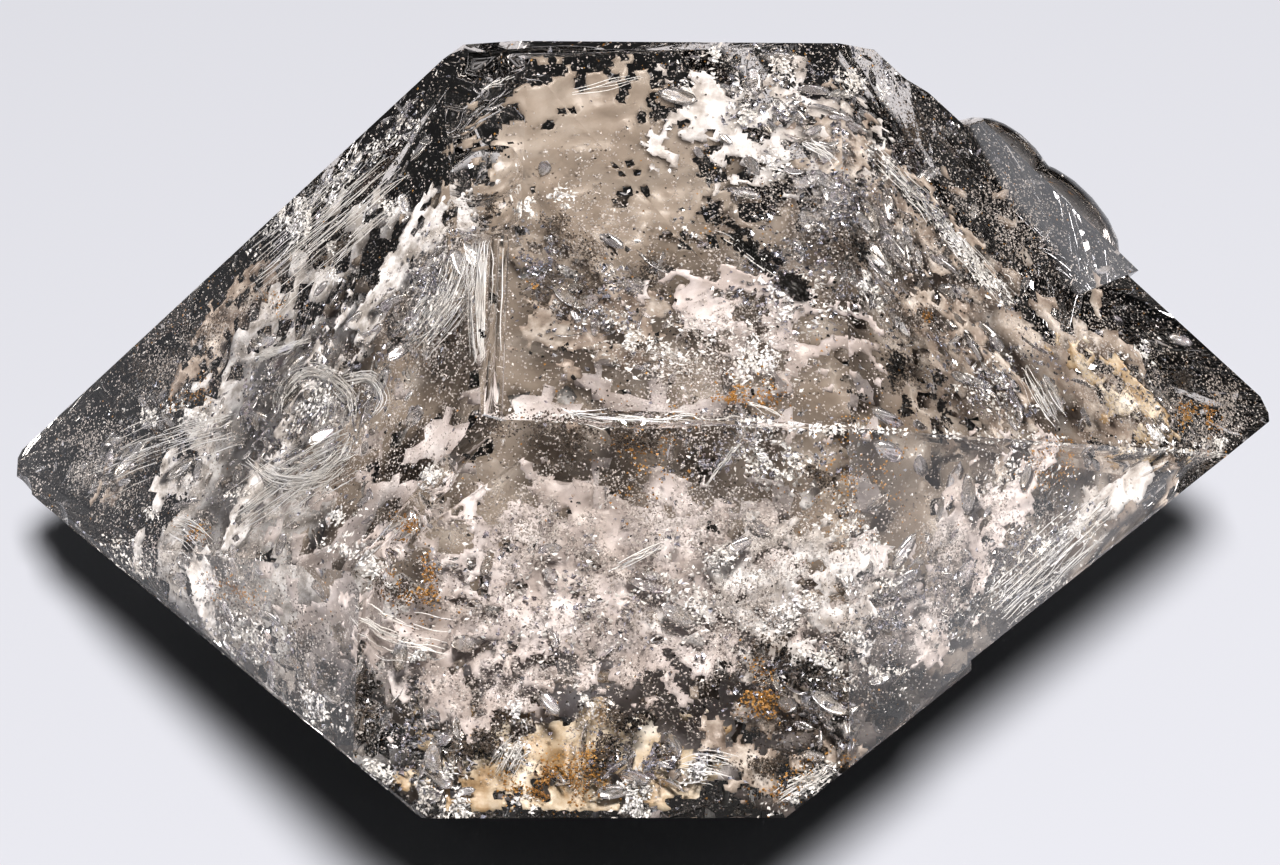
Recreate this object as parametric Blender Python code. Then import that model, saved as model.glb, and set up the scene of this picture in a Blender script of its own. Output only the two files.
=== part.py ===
# Herkimer diamond: one doubly terminated quartz crystal, lying on one of its six prism faces.
# X is the crystal's long axis, -Y its front and +Z up. Sizes below are in millimetres and degrees.

import math

import bmesh
import bpy
from mathutils import Matrix, Vector

MM = 0.001
LEFT, RIGHT = -1, 1

# Every natural face is flat. It is given by its turn about the long axis, from straight up towards
# the front, the lean of its normal away from the long axis, the end that it belongs to, and its
# distance from the crystal's centre.
FACES = {
    "top": (0, 87, RIGHT, 14.0),
    "front": (58, 88.5, RIGHT, 15.7),
    "front_under": (120, 90, RIGHT, 14.9),
    "rest": (180, 90, RIGHT, 14.5),
    "back_under": (240, 90, RIGHT, 14.2),
    "back": (300, 90, RIGHT, 13.7),
    "left_top": (5, 46, LEFT, 14.2),
    "left_front": (53, 41.5, LEFT, 17.7),
    "left_front_under": (118, 51, LEFT, 16.8),
    "left_rest": (180, 52, LEFT, 19.0),
    "left_back_under": (240, 52, LEFT, 19.0),
    "left_back": (301, 53, LEFT, 14.9),
    "right_top": (0, 52.5, RIGHT, 15.4),
    "right_front": (57.5, 51, RIGHT, 16.8),
    "right_front_under": (120, 52, RIGHT, 15.05),
    "right_rest": (180, 52, RIGHT, 16.5),
    "right_back_under": (240, 52, RIGHT, 16.5),
    "right_back": (298, 50.4, RIGHT, 16.3),
    "left_corner": (33, 63.5, LEFT, 17.4),
    "left_shoulder": (0, 75.3, LEFT, 14.9),
}

# The worn right tip is three small flats, given as the faces are.
WORN_TIP = {
    "tip_end": (20, 4, RIGHT, 24.3),
    "tip_upper": (310, 24, RIGHT, 22.5),
    "tip_lower": (100, 24, RIGHT, 22.2),
}

# A growth terrace lowers a face by a step on one side of a straight line. The line is a distance
# from the face's own middle, and its turn says which way the lowered side lies: 0 is along the
# face towards its tip, and 90 is across it.
TERRACES = {
    # name: (face, distance, turn, step)
    "notch_step": ("right_front_under", 3.9, 0, 0.3),
    "back_low_step": ("back", 1.2, 250, 0.3),
    "back_end_step": ("back", 4.6, -35, 0.22),
    "back_under_step": ("back_under", 3.2, 20, 0.35),
    "back_under_left_step": ("back_under", 6.5, 160, 0.25),
    "left_back_step": ("left_back", 3.4, 100, 0.3),
    "left_back_low_step": ("left_back", 6.2, 110, 0.55),
    "left_back_under_step": ("left_back_under", 2.5, -60, 0.35),
    "left_back_under_tip_step": ("left_back_under", 9.0, 5, 0.3),
    "left_rest_step": ("left_rest", 3.5, -110, 0.3),
    "left_front_under_step": ("left_front_under", 3.0, 75, 0.25),
    "right_rest_step": ("right_rest", 2.5, 60, 0.3),
    "right_back_step": ("right_back", 5.0, 120, 0.25),
    "right_back_under_step": ("right_back_under", 4.5, -30, 0.35),
    "right_back_under_low_step": ("right_back_under", 3.8, 120, 0.25),
    "front_under_step": ("front_under", 1.5, 80, 0.25),
    "rest_front_step": ("rest", 5.6, -70, 0.3),
    "rest_left_step": ("rest", 7.4, 175, 0.25),
}
TERRACE_SIDE_SLOPE = 55
BLOCK_REACH, BLOCK_HEIGHT = 30.0, 4.0

# A chip is a shell-shaped hollow: a rippled ellipsoid sunk into a face at a place across and along
# the face. Its radii run across the face, along it and out of it, and it is as deep as given.
CHIPS = {
    # name: (face, across, along, radii, depth, turn)
    "shoulder_chip_upper": ("left_shoulder", 1.3, 1.7, (1.9, 2.0, 1.9), 0.75, 0),
    "shoulder_chip_lower": ("left_shoulder", -0.45, 1.45, (1.6, 1.7, 1.6), 0.65, 0),
    "top_corner_chip": ("left_shoulder", 5.5, 1.7, (3.2, 3.8, 4.2), 0.55, -25),
    "top_corner_nick": ("left_shoulder", 4.2, 2.7, (1.3, 1.1, 1.2), 0.35, 0),
    "right_ridge_chip": ("right_front", -0.2, 13.4, (1.3, 2.4, 2.2), 0.4, -12),
    "right_ridge_sliver": ("right_front", -1.15, 10.9, (0.8, 3.0, 1.5), 0.25, -8),
    "front_ridge_sliver": ("top", 9.6, -0.6, (0.7, 4.2, 1.6), 0.3, 0),
    "left_corner_flake": ("left_corner", -2.3, -1.35, (1.3, 0.9, 1.2), 0.3, 30),
    "left_corner_flake_low": ("left_corner", -3.7, -0.5, (1.5, 0.8, 1.2), 0.28, -20),
    "left_corner_flake_end": ("left_corner", -5.6, 1.1, (1.2, 0.9, 1.2), 0.3, 15),
    "back_edge_chip": ("back", -7.6, -2.0, (2.2, 3.0, 2.2), 0.7, 0),
    "back_under_chip": ("back_under", 3, -4.0, (2.6, 3.4, 4.0), 0.45, 20),
    "left_rest_edge_chip": ("left_rest", 4.5, 2.0, (2.4, 3.0, 2.6), 0.6, 40),
    "right_back_edge_chip": ("right_back_under", -6.5, 1.5, (2.0, 2.8, 2.4), 0.6, 0),
    "right_rest_edge_chip": ("right_rest", -5, 3.5, (2.0, 2.4, 2.2), 0.55, 0),
    "front_under_edge_chip": ("front_under", -7.2, 3.6, (1.6, 2.4, 1.8), 0.5, 0),
}

# The broken left tip: hollows at places measured from the crystal's centre.
LEFT_TIP_CHIPS = {
    # name: (place, radius)
    "left_tip_chip": ((-26.3, -0.8, -4.6), 2.3),
    "left_tip_chip_low": ((-24.5, -3.0, -2.2), 2.2),
}

# Fine grooves run across the shoulder strip, the width of a hair apart.
SHOULDER_GROOVES = {"first": 0.74, "spacing": 0.33, "count": 3, "half_width": 0.09, "depth": 0.12}
SHOULDER_GROOVE_REACH = (-9.4, -1.6)

# The raised ledge on the upper right is a wedge. The corners of its upper side lie across, along
# and above a face, and its sides go down into the crystal.
LEDGE_FACE = "right_top"
LEDGE_CORNERS = [(-6.4, 2.95, -0.08), (0.05, 7.2, -0.08), (-3.9, 12.1, 0.3), (-7.7, 4.7, 0.12)]
LEDGE_DEPTH = 1.8

# Two glassy lobes grew on the face behind the ledge.
LOBE_FACE = "right_back"
LOBES = {
    # name: (place from the centre, radii along the edge, out of the face and down it)
    "lobe_upper": ((13.75, 6.9, 7.1), (2.75, 1.9, 1.2)),
    "lobe_lower": ((15.8, 5.75, 5.35), (3.3, 2.1, 1.5)),
}

BLANK_SIDE = 90.0
FLAT = 1e-5
SHARP_ANGLE = 18
BALL_ROUNDS = 3
RIPPLES = 14
RIPPLE_DEPTH = 0.012
LUMPS = (5, 4)
LUMP_DEPTH = 0.02

CRYSTAL_COLOR = (0.80, 0.77, 0.75, 1.0)
QUARTZ_IOR = 1.544


def face_normal(turn, lean, end):
    turn, lean = math.radians(turn), math.radians(lean)
    return Vector(
        (end * math.cos(lean), -math.sin(lean) * math.sin(turn), math.sin(lean) * math.cos(turn))
    )


def face_frame(name):
    """The middle of a face, and its across, along and outward directions as unit vectors."""
    turn, lean, end, distance = FACES[name]
    normal = face_normal(turn, lean, end)
    along = Vector((end, 0, 0))
    along = (along - normal * along.dot(normal)).normalized()
    return normal * distance, along.cross(normal), along, normal


def face_matrix(name, across, along, height, turn=0):
    """A place on a face as a matrix: its X runs across, its Y along and its Z outward."""
    middle, side, run, normal = face_frame(name)
    place = middle + side * across + run * along + normal * height
    axes = Matrix((side, run, normal)).transposed().to_4x4()
    return Matrix.Translation(place) @ axes @ Matrix.Rotation(math.radians(-turn), 4, "Z")


def object_from(mesh_bm, name, collection, material=None):
    mesh = bpy.data.meshes.new(name)
    mesh_bm.to_mesh(mesh)
    mesh_bm.free()
    made = bpy.data.objects.new(name, mesh)
    collection.objects.link(made)
    if material:
        mesh.materials.append(material)
    return made


def cutter_from(mesh_bm, name, collection):
    cutter = object_from(mesh_bm, name, collection)
    cutter.hide_render = True
    cutter.display_type = "WIRE"
    return cutter


def cut_flat(mesh_bm, normal, distance):
    """Cuts away everything past a plane, and closes the cut with one flat face."""
    geometry = mesh_bm.verts[:] + mesh_bm.edges[:] + mesh_bm.faces[:]
    cut = bmesh.ops.bisect_plane(
        mesh_bm, geom=geometry, dist=FLAT, plane_co=normal * distance, plane_no=normal, clear_outer=True
    )
    rim = [item for item in cut["geom_cut"] if isinstance(item, bmesh.types.BMEdge)]
    if rim:
        bmesh.ops.edgeloop_fill(mesh_bm, edges=rim)


def natural_crystal(collection, material):
    """A blank cut down to the crystal's natural faces and its worn tip."""
    blank = bmesh.new()
    bmesh.ops.create_cube(blank, size=BLANK_SIDE)
    for turn, lean, end, distance in [*FACES.values(), *WORN_TIP.values()]:
        cut_flat(blank, face_normal(turn, lean, end), distance)
    bmesh.ops.recalc_face_normals(blank, faces=blank.faces)
    return object_from(blank, "quartz_crystal", collection, material)


def ball(radii, ripple, lump):
    """An ellipsoid with rings like a broken shell's round its top and soft lumps over it."""
    shape = bmesh.new()
    bmesh.ops.create_icosphere(shape, subdivisions=BALL_ROUNDS, radius=1)
    for vert in shape.verts:
        direction = vert.co.normalized()
        from_pole = math.acos(max(-1.0, min(1.0, -direction.z)))
        rings = ripple * math.cos(from_pole * RIPPLES)
        lumps = lump * math.sin(LUMPS[0] * direction.x + 1) * math.sin(LUMPS[1] * direction.y + 2)
        scale = 1 + rings + lumps
        vert.co = Vector([direction[k] * radii[k] * scale for k in range(3)])
    return shape


def terrace_cutter(name, collection):
    """A block over the lowered side of a face, with its near side leaning back."""
    face, distance, turn, step = TERRACES[name]
    shape = bmesh.new()
    bmesh.ops.create_cube(shape, size=1)
    bmesh.ops.translate(shape, vec=(0, 0.5, 0.5), verts=shape.verts)
    bmesh.ops.scale(shape, vec=(2 * BLOCK_REACH, BLOCK_REACH, BLOCK_HEIGHT), verts=shape.verts)
    for vert in shape.verts:
        if vert.co.z > FLAT and vert.co.y < FLAT:
            vert.co.y -= BLOCK_HEIGHT / math.tan(math.radians(TERRACE_SIDE_SLOPE))
    place = face_matrix(face, 0, 0, -step, turn) @ Matrix.Translation((0, distance, 0))
    shape.transform(place)
    return cutter_from(shape, name, collection)


def chip_cutter(name, collection):
    face, across, along, radii, depth, turn = CHIPS[name]
    shape = ball(radii, RIPPLE_DEPTH, LUMP_DEPTH)
    shape.transform(face_matrix(face, across, along, radii[2] - depth, turn))
    return cutter_from(shape, name, collection)


def left_tip_cutter(name, collection):
    place, radius = LEFT_TIP_CHIPS[name]
    shape = ball((radius, radius, radius), RIPPLE_DEPTH, 2 * LUMP_DEPTH)
    bmesh.ops.translate(shape, vec=place, verts=shape.verts)
    return cutter_from(shape, name, collection)


def groove_cutter(number, collection):
    """A long three-sided rod, sunk into the shoulder strip with one edge down."""
    size = SHOULDER_GROOVES
    low, high = SHOULDER_GROOVE_REACH
    shape = bmesh.new()
    bmesh.ops.create_cone(
        shape, cap_ends=True, segments=3, radius1=1, radius2=1, depth=high - low
    )
    bmesh.ops.scale(
        shape, vec=(size["half_width"] / math.cos(math.radians(30)), size["depth"], 1), verts=shape.verts
    )
    shape.transform(Matrix.Rotation(math.radians(90), 4, "Y"))
    along = size["first"] + number * size["spacing"]
    shape.transform(face_matrix("left_shoulder", (low + high) / 2, along, 0))
    return cutter_from(shape, f"shoulder_groove_{number + 1}", collection)


def ledge_block(collection):
    middle, side, run, normal = face_frame(LEDGE_FACE)
    shape = bmesh.new()
    for across, along, height in LEDGE_CORNERS:
        corner = middle + side * across + run * along + normal * height
        shape.verts.new(corner)
        shape.verts.new(corner - normal * LEDGE_DEPTH)
    bmesh.ops.convex_hull(shape, input=shape.verts)
    bmesh.ops.recalc_face_normals(shape, faces=shape.faces)
    return cutter_from(shape, "raised_ledge", collection)


def lobe(name, collection):
    place, radii = LOBES[name]
    out = face_frame(LOBE_FACE)[3]
    edge = out.cross(face_frame(LEDGE_FACE)[3]).normalized()
    down = out.cross(edge)
    shape = ball(radii, 0, LUMP_DEPTH)
    axes = Matrix((edge, out, down)).transposed().to_4x4()
    shape.transform(Matrix.Translation(place) @ axes)
    return cutter_from(shape, name, collection)


def join_or_cut(crystal, other, operation):
    step = crystal.modifiers.new(other.name, "BOOLEAN")
    step.operation = operation
    step.object = other
    step.solver = "EXACT"


def stand_on_rest_face(crystal, others):
    """Bakes the Booleans, puts the origin under the middle of the crystal and turns millimetres to metres."""
    graph = bpy.context.evaluated_depsgraph_get()
    mesh = bpy.data.meshes.new_from_object(crystal.evaluated_get(graph))
    crystal.modifiers.clear()
    crystal.data = mesh
    mesh.name = crystal.name
    low = Vector([min(vert.co[k] for vert in mesh.vertices) for k in range(3)])
    high = Vector([max(vert.co[k] for vert in mesh.vertices) for k in range(3)])
    shift = -Vector(((low.x + high.x) / 2, (low.y + high.y) / 2, low.z))
    for made in [crystal, *others]:
        made.data.transform(Matrix.Scale(MM, 4) @ Matrix.Translation(shift))
    mesh.shade_smooth()
    mesh.set_sharp_from_angle(angle=math.radians(SHARP_ANGLE))


def quartz():
    material = bpy.data.materials.new("clear_smoky_quartz")
    material.use_nodes = True
    shader = material.node_tree.nodes["Principled BSDF"]
    shader.inputs["Base Color"].default_value = CRYSTAL_COLOR
    shader.inputs["Roughness"].default_value = 0.05
    shader.inputs["Metallic"].default_value = 0.0
    shader.inputs["IOR"].default_value = QUARTZ_IOR
    shader.inputs["Transmission Weight"].default_value = 1.0
    return material


def named_collection(name):
    collection = bpy.data.collections.new(name)
    bpy.context.scene.collection.children.link(collection)
    return collection


def main():
    for old in list(bpy.data.objects):
        bpy.data.objects.remove(old, do_unlink=True)
    part = named_collection("herkimer_diamond")
    cutters = named_collection("cutters")
    cutters.hide_render = True
    crystal = natural_crystal(part, quartz())
    terraces = [terrace_cutter(name, cutters) for name in TERRACES]
    growths = [ledge_block(cutters)] + [lobe(name, cutters) for name in LOBES]
    chips = [chip_cutter(name, cutters) for name in CHIPS]
    chips += [left_tip_cutter(name, cutters) for name in LEFT_TIP_CHIPS]
    chips += [groove_cutter(number, cutters) for number in range(SHOULDER_GROOVES["count"])]
    for shapes, operation in ((terraces, "DIFFERENCE"), (growths, "UNION"), (chips, "DIFFERENCE")):
        for shape in shapes:
            join_or_cut(crystal, shape, operation)
    bpy.context.view_layer.update()
    stand_on_rest_face(crystal, terraces + growths + chips)


main()
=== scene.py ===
# Herkimer diamond: a clear, pale smoky quartz crystal, full of healed cracks, flakes and dark grains.
import math

import bmesh
import bpy
import numpy as np
from mathutils import Matrix, Vector, noise
from mathutils.bvhtree import BVHTree


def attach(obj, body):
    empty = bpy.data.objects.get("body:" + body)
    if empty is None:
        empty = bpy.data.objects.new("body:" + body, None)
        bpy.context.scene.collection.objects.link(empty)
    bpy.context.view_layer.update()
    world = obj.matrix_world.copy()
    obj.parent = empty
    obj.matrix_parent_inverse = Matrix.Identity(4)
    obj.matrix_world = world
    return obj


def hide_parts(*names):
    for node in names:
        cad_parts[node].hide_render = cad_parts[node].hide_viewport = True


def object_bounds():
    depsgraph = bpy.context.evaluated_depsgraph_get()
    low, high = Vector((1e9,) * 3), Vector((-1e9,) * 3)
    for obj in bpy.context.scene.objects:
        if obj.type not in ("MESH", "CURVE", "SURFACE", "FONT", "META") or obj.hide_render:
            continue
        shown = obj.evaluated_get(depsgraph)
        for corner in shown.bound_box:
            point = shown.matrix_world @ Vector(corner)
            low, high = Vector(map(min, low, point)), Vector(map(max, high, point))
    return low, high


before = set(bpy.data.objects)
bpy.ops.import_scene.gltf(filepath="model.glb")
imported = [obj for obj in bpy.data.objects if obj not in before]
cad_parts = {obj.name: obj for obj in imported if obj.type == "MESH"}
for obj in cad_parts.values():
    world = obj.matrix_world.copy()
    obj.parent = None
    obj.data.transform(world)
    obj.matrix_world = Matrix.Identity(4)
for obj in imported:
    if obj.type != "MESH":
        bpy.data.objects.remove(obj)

mm = 0.001
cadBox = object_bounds()
rng = np.random.default_rng(7)


# colours

def linear(hexColour):
    channels = [int(hexColour[k:k + 2], 16) / 255 for k in (0, 2, 4)]
    return [c / 12.92 if c <= 0.04045 else ((c + 0.055) / 1.055) ** 2.4 for c in channels] + [1.0]


def addNode(tree, kind, settings=None, values=None, links=None):
    node = tree.nodes.new(kind)
    for key, value in (settings or {}).items():
        setattr(node, key, value)
    for key, value in (values or {}).items():
        node.inputs[key].default_value = value
    for key, source in (links or {}).items():
        tree.links.new(source, node.inputs[key])
    return node


# camera

view = {
    "aim": (0.37, 1.01, 14.5),  # mm, the middle of the crystal
    "distance": 142.6,  # mm: a close-up, so the front is drawn larger than the back
    "elevation": 54.06,  # degrees, as are the next two
    "azimuth": 1.76,
    "roll": -1.62,
    "focal": 3664.7,  # in pixels of the picture
    "picture": (1280, 865),  # pixels
    "sensor": 36.0,  # mm
    "clip": (0.005, 20),  # m
    "bounces": 8,  # enough for a sight line to cross the crystal and what is in it
    "diffuseBounces": 2,
    "glossyBounces": 3,
}


def cameraAxes():
    elevation, azimuth, roll = (math.radians(view[k]) for k in ("elevation", "azimuth", "roll"))
    back = Vector((math.sin(azimuth) * math.cos(elevation), -math.cos(azimuth) * math.cos(elevation),
                   math.sin(elevation)))
    side = (-back).cross(Vector((0, 0, 1))).normalized()
    up = side.cross(-back)
    return (side * math.cos(roll) + up * math.sin(roll), up * math.cos(roll) - side * math.sin(roll), back)


right, up, back = cameraAxes()
eye = (Vector(view["aim"]) + back * view["distance"]) * mm


def makeCamera():
    camera = bpy.data.objects.new("camera", bpy.data.cameras.new("camera"))
    bpy.context.scene.collection.objects.link(camera)
    camera.matrix_world = Matrix.Translation(eye) @ Matrix((right, up, back)).transposed().to_4x4()
    camera.data.sensor_width = view["sensor"]
    camera.data.lens = view["focal"] * view["sensor"] / view["picture"][0]
    camera.data.clip_start, camera.data.clip_end = view["clip"]
    bpy.context.scene.camera = camera
    bpy.context.scene.view_settings.view_transform = "Standard"
    paths = bpy.context.scene.cycles
    paths.max_bounces, paths.transmission_bounces = view["bounces"], view["bounces"]
    paths.diffuse_bounces, paths.glossy_bounces = view["diffuseBounces"], view["glossyBounces"]
    # the inner lamps bring the light in, so it isn't traced through the faces as well
    paths.caustics_refractive = paths.caustics_reflective = False


# studio

studio = {
    "floor": "eeeef2",
    "floorSize": 3.0,  # m
    "floorGap": 0.03,  # mm, so that the card and the crystal's flat spot aren't in one plane
    "world": "e9ebf0",
    "worldStrength": 0.035,
    # name: (place mm, aim mm, size mm, watts, colour, what it lights)
    "lamps": {
        "key": ((30, -130, 400), (0, 0, 10), (60, 60), 1.8, "fcfcff", "all"),
        "inner_key": ((30, -130, 400), (0, 0, 10), (60, 60), 2.6, "fffcf8", "crystal"),
        "inner_left": ((-300, -60, 260), (0, 0, 10), (120, 120), 0.35, "f4f6ff", "crystal"),
        "inner_right": ((300, 60, 260), (0, 0, 10), (120, 120), 0.35, "ffffff", "crystal"),
    },
}
litByInner = bpy.data.collections.new("crystal_and_inside")
shadeInside = bpy.data.collections.new("inside_the_quartz")


def makeStudio():
    world = bpy.data.worlds.new("pale_room")
    world.use_nodes = True
    background = world.node_tree.nodes["Background"]
    background.inputs["Color"].default_value = linear(studio["world"])
    background.inputs["Strength"].default_value = studio["worldStrength"]
    bpy.context.scene.world = world
    for name, (place, aim, size, watts, colour, lit) in studio["lamps"].items():
        lamp = bpy.data.lights.new(name, "AREA")
        lamp.shape = "RECTANGLE"
        lamp.size, lamp.size_y = size[0] * mm, size[1] * mm
        lamp.energy = watts
        lamp.color = linear(colour)[:3]
        made = bpy.data.objects.new(name, lamp)
        bpy.context.scene.collection.objects.link(made)
        place, aim = Vector(place) * mm, Vector(aim) * mm
        made.location = place
        made.rotation_euler = (place - aim).to_track_quat("Z", "Y").to_euler()
        if lit == "crystal":
            # quartz lets lamps in: these reach what is inside it, and only that casts their shadows
            made.light_linking.receiver_collection = litByInner
            made.light_linking.blocker_collection = shadeInside
    bm = bmesh.new()
    bmesh.ops.create_grid(bm, x_segments=1, y_segments=1, size=studio["floorSize"] / 2)
    bmesh.ops.translate(bm, vec=(0, 0, -studio["floorGap"] * mm), verts=bm.verts)
    floor = meshObject(bm, "paper_floor", paper())


def putInside(piece):
    litByInner.objects.link(piece)
    shadeInside.objects.link(piece)


def meshObject(bm, name, material):
    mesh = bpy.data.meshes.new(name)
    bm.to_mesh(mesh)
    bm.free()
    if material:
        mesh.materials.append(material)
    made = bpy.data.objects.new(name, mesh)
    bpy.context.scene.collection.objects.link(made)
    return made


def newMaterial(name, values):
    material = bpy.data.materials.new(name)
    material.use_nodes = True
    shader = material.node_tree.nodes["Principled BSDF"]
    for key, value in values.items():
        shader.inputs[key].default_value = value
    return material, material.node_tree, shader


def paper():
    # matt white card: a plain pale ground that takes the shadow
    return newMaterial("matt_card", {
        "Roughness": 0.9, "Specular IOR Level": 0.2, "Base Color": linear(studio["floor"])})[0]


# quartz: a clear crystal with a pale smoky tint

quartz = {
    "ior": 1.544,
    "tint": "f4ede6",
    "roughness": 0.0,
    "weld": 0.002,  # mm
    "flat": 0.5,  # degrees: faces nearer than this to one plane are joined
    "sharp": 20,  # degrees: the chips are smooth, the crystal's own edges aren't
}


def smokyQuartz():
    # natural crystal faces: a glassy shine, clear inside, and faintly smoky in the light that comes through
    return newMaterial("smoky_quartz", {
        "Base Color": linear(quartz["tint"]), "Roughness": quartz["roughness"], "IOR": quartz["ior"],
        "Transmission Weight": 1.0})[0]


def makeCrystal():
    bm = bmesh.new()
    bm.from_mesh(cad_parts["quartz_crystal"].data)
    bmesh.ops.remove_doubles(bm, verts=bm.verts, dist=quartz["weld"] * mm)
    bmesh.ops.dissolve_limit(bm, angle_limit=math.radians(quartz["flat"]), verts=bm.verts, edges=bm.edges)
    bmesh.ops.recalc_face_normals(bm, faces=bm.faces)
    for face in bm.faces:
        face.smooth = True
    crystal = meshObject(bm, "crystal_body", smokyQuartz())
    crystal.data.set_sharp_from_angle(angle=math.radians(quartz["sharp"]))
    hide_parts("quartz_crystal")
    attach(crystal, "root")
    litByInner.objects.link(crystal)
    return crystal


# places inside the crystal, found from the picture: a sight line is bent where it enters a face

def surfaceTree(piece):
    bm = bmesh.new()
    bm.from_mesh(piece.data)
    tree = BVHTree.FromBMesh(bm)
    bm.free()
    return tree


def refracted(direction, normal, ratio):
    cosine = -direction.dot(normal)
    sine2 = ratio * ratio * (1 - cosine * cosine)
    return (direction * ratio + normal * (ratio * cosine - math.sqrt(max(0.0, 1 - sine2)))).normalized()


def under(x, y, depth):
    # the point this many mm along the bent sight line, and the line's direction
    width, height = view["picture"]
    sight = (right * (x - width / 2) + up * (height / 2 - y) - back * view["focal"]).normalized()
    hit, normal, face, distance = skin.ray_cast(eye, sight)
    if hit is None:
        return None, None
    inward = refracted(sight, normal, 1 / quartz["ior"])
    return hit + inward * depth * mm, inward


def inside(point, margin):
    # by a sharp edge the nearest face can mislead, so a line straight up has to leave the crystal too
    near, normal, face, distance = skin.find_nearest(point)
    if (point - near).dot(normal) >= 0 or distance <= margin * mm:
        return False
    hit, outward, face, distance = skin.ray_cast(point, Vector((0, 0, 1)))
    return hit is not None and outward.z > 0


# small bodies are one low mesh set on many points

def plateMesh(name, rim, height):
    # a flat plate: an uneven rim of points between a top and a bottom point
    bm = bmesh.new()
    ring = []
    for k in range(rim):
        turn = 2 * math.pi * k / rim
        reach = 0.8 + 0.35 * math.sin(2.3 * k + 1)
        ring.append(bm.verts.new((reach * math.cos(turn), reach * math.sin(turn), 0)))
    top, bottom = bm.verts.new((0.1, 0.05, height)), bm.verts.new((-0.05, 0.1, -height))
    for k in range(rim):
        bm.faces.new((ring[k], ring[(k + 1) % rim], top))
        bm.faces.new((ring[(k + 1) % rim], ring[k], bottom))
    bmesh.ops.recalc_face_normals(bm, faces=bm.faces)
    return meshObject(bm, name, None)


def grainMesh(name):
    # a rough grain of four faces
    bm = bmesh.new()
    corners = [bm.verts.new(v) for v in ((1, 0.2, -0.5), (-0.6, 0.9, -0.4), (-0.5, -0.9, -0.6), (0.05, 0.1, 1))]
    for a, b, c in ((0, 1, 2), (0, 1, 3), (1, 2, 3), (0, 2, 3)):
        bm.faces.new((corners[a], corners[b], corners[c]))
    bmesh.ops.recalc_face_normals(bm, faces=bm.faces)
    return meshObject(bm, name, None)


def leafMesh(name):
    # a thin leaf, curved and rippled, with one seam round its rim
    across, ahead, narrow, thick = 4, 6, 0.9, 0.03
    bm = bmesh.new()

    def corner(i, j, side):
        u, v = 2 * i / ahead - 1, 2 * j / across - 1
        x, y = u, v * math.sqrt(max(0.0, 1 - u * u)) * narrow
        bend = 0.28 * u * u + 0.2 * math.sin(2.4 * u + 1.3 * y) + 0.12 * math.sin(5 * y + 2 * u)
        return bm.verts.new((x, y, bend + side * thick))

    rows = {}
    for i in range(ahead + 1):
        for j in range(across + 1):
            rim = i in (0, ahead) or j in (0, across)
            rows[i, j, 1] = corner(i, j, 0 if rim else 1)
            rows[i, j, -1] = rows[i, j, 1] if rim else corner(i, j, -1)
    for i in range(ahead):
        for j in range(across):
            for side in (1, -1):
                ring = [rows[i, j, side], rows[i + 1, j, side], rows[i + 1, j + 1, side], rows[i, j + 1, side]]
                bm.faces.new(ring if side == 1 else ring[::-1])
    bmesh.ops.remove_doubles(bm, verts=bm.verts, dist=0.001)
    bmesh.ops.recalc_face_normals(bm, faces=bm.faces)
    for face in bm.faces:
        face.smooth = True
    return meshObject(bm, name, None)


def scatterTree(shape, material):
    # points carry a turn and a size each; the tree sets the shape on them
    tree = bpy.data.node_groups.new("set_on_points", "GeometryNodeTree")
    tree.interface.new_socket("Geometry", in_out="INPUT", socket_type="NodeSocketGeometry")
    tree.interface.new_socket("Size", in_out="INPUT", socket_type="NodeSocketFloat").default_value = 1.0
    tree.interface.new_socket("Geometry", in_out="OUTPUT", socket_type="NodeSocketGeometry")
    source = addNode(tree, "NodeGroupInput")
    model = addNode(tree, "GeometryNodeObjectInfo", values={"Object": shape})
    turn = addNode(tree, "GeometryNodeInputNamedAttribute", {"data_type": "FLOAT_VECTOR"}, {"Name": "turn"})
    rotation = addNode(tree, "FunctionNodeEulerToRotation", links={"Euler": turn.outputs["Attribute"]})
    size = addNode(tree, "GeometryNodeInputNamedAttribute", {"data_type": "FLOAT_VECTOR"}, {"Name": "size"})
    scaled = addNode(tree, "ShaderNodeVectorMath", {"operation": "SCALE"},
                     links={"Vector": size.outputs["Attribute"], "Scale": source.outputs["Size"]})
    copies = addNode(tree, "GeometryNodeInstanceOnPoints", links={
        "Points": source.outputs["Geometry"], "Instance": model.outputs["Geometry"],
        "Rotation": rotation.outputs["Rotation"], "Scale": scaled.outputs["Vector"]})
    real = addNode(tree, "GeometryNodeRealizeInstances", links={"Geometry": copies.outputs["Instances"]})
    coat = addNode(tree, "GeometryNodeSetMaterial", values={"Material": material},
                   links={"Geometry": real.outputs["Geometry"]})
    addNode(tree, "NodeGroupOutput", links={"Geometry": coat.outputs["Geometry"]})
    return tree


def finished(name, source, tree, socket):
    # what the tree makes of the source, as a plain mesh inside the quartz
    piece = bpy.data.objects.new(name, source)
    bpy.context.scene.collection.objects.link(piece)
    putInside(piece)
    step = piece.modifiers.new("made", "NODES")
    step.node_group = tree
    sockets = {item.name: item.identifier for item in tree.interface.items_tree}
    step[sockets[socket]] = 1.0
    graph = bpy.context.evaluated_depsgraph_get()
    mesh = bpy.data.meshes.new_from_object(piece.evaluated_get(graph))
    piece.modifiers.clear()
    piece.data = mesh
    mesh.name = name
    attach(piece, "root")
    return len(mesh.polygons)


def setOnPoints(name, points, shape, material):
    # points: rows of (place, turn, size), in metres and radians
    cloud = bpy.data.meshes.new(name)
    cloud.from_pydata([p[0] for p in points], [], [])
    for key, column in (("turn", 1), ("size", 2)):
        store = cloud.attributes.new(key, "FLOAT_VECTOR", "POINT")
        store.data.foreach_set("vector", np.array([p[column] for p in points], np.float32).ravel())
    faces = finished(name, cloud, scatterTree(shape, material), "Size")


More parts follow.
